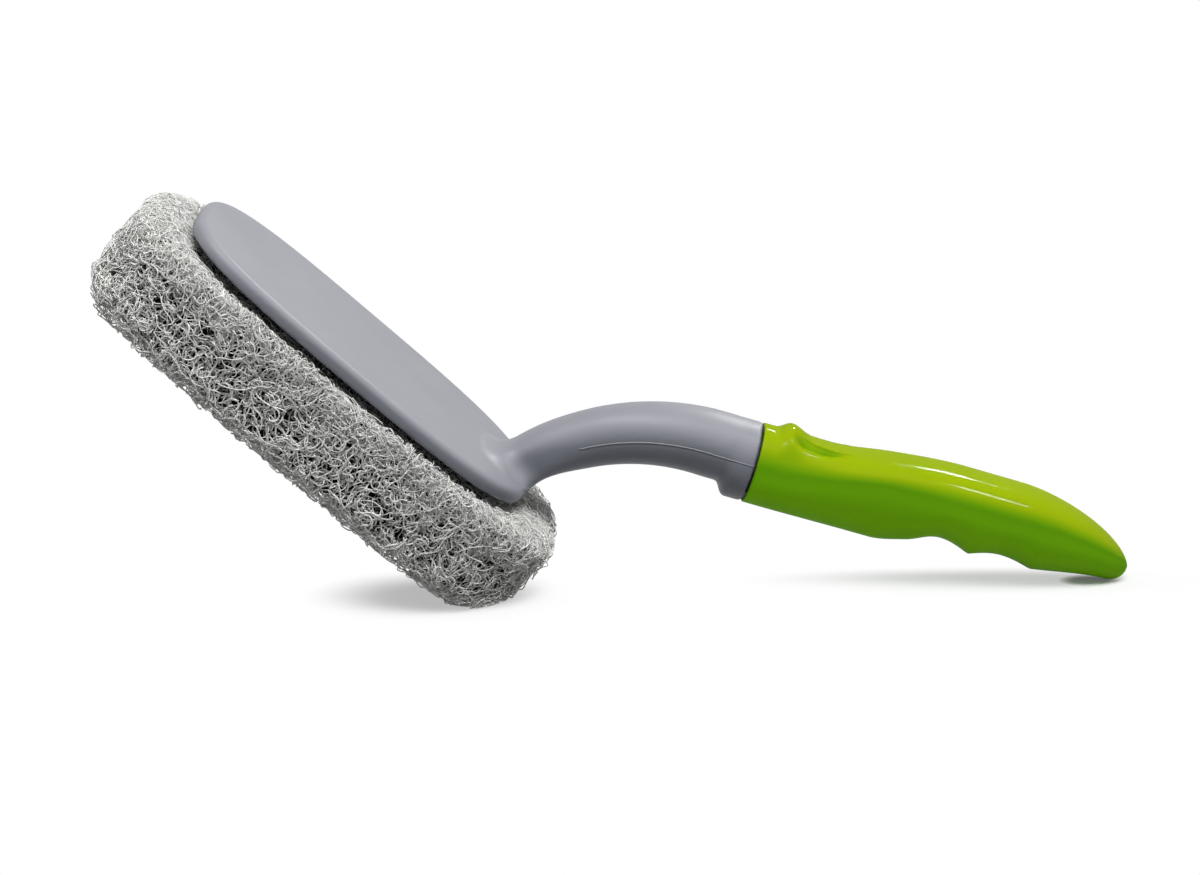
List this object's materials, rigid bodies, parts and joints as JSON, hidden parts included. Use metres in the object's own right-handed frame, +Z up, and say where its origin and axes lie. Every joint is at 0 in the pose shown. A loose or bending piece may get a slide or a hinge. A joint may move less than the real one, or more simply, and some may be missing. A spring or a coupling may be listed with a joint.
{
  "type": "tile scrub brush",
  "caption": "Hand-held tile scrubber: a thick oval scouring pad under a tilted plate, with a curved neck and a finger-grooved grip.",
  "frame": {"origin": "on the ground under the middle of the brush's length, as it lies", "axes": "+X along the brush from pad to tail, +Y across it, +Z up"},
  "size_m": [0.3168, 0.078, 0.1221],
  "materials": {
    "pad": "open mat of coarse curly fibres",
    "hooks": "matt black",
    "head": "satin grey",
    "grip": "glossy lime green"
  },
  "bodies": {
    "pad": {"scouring_pad": "pad"},
    "handle": {"hook_sheet": "hooks", "head_and_neck": "head", "grip": "grip"}
  },
  "joints": [
    {"name": "pad_release", "type": "slide", "parent": "pad", "child": "handle", "axis": [0.6662, 0, 0.7458], "range_m": [0, 0.04]}
  ]
}
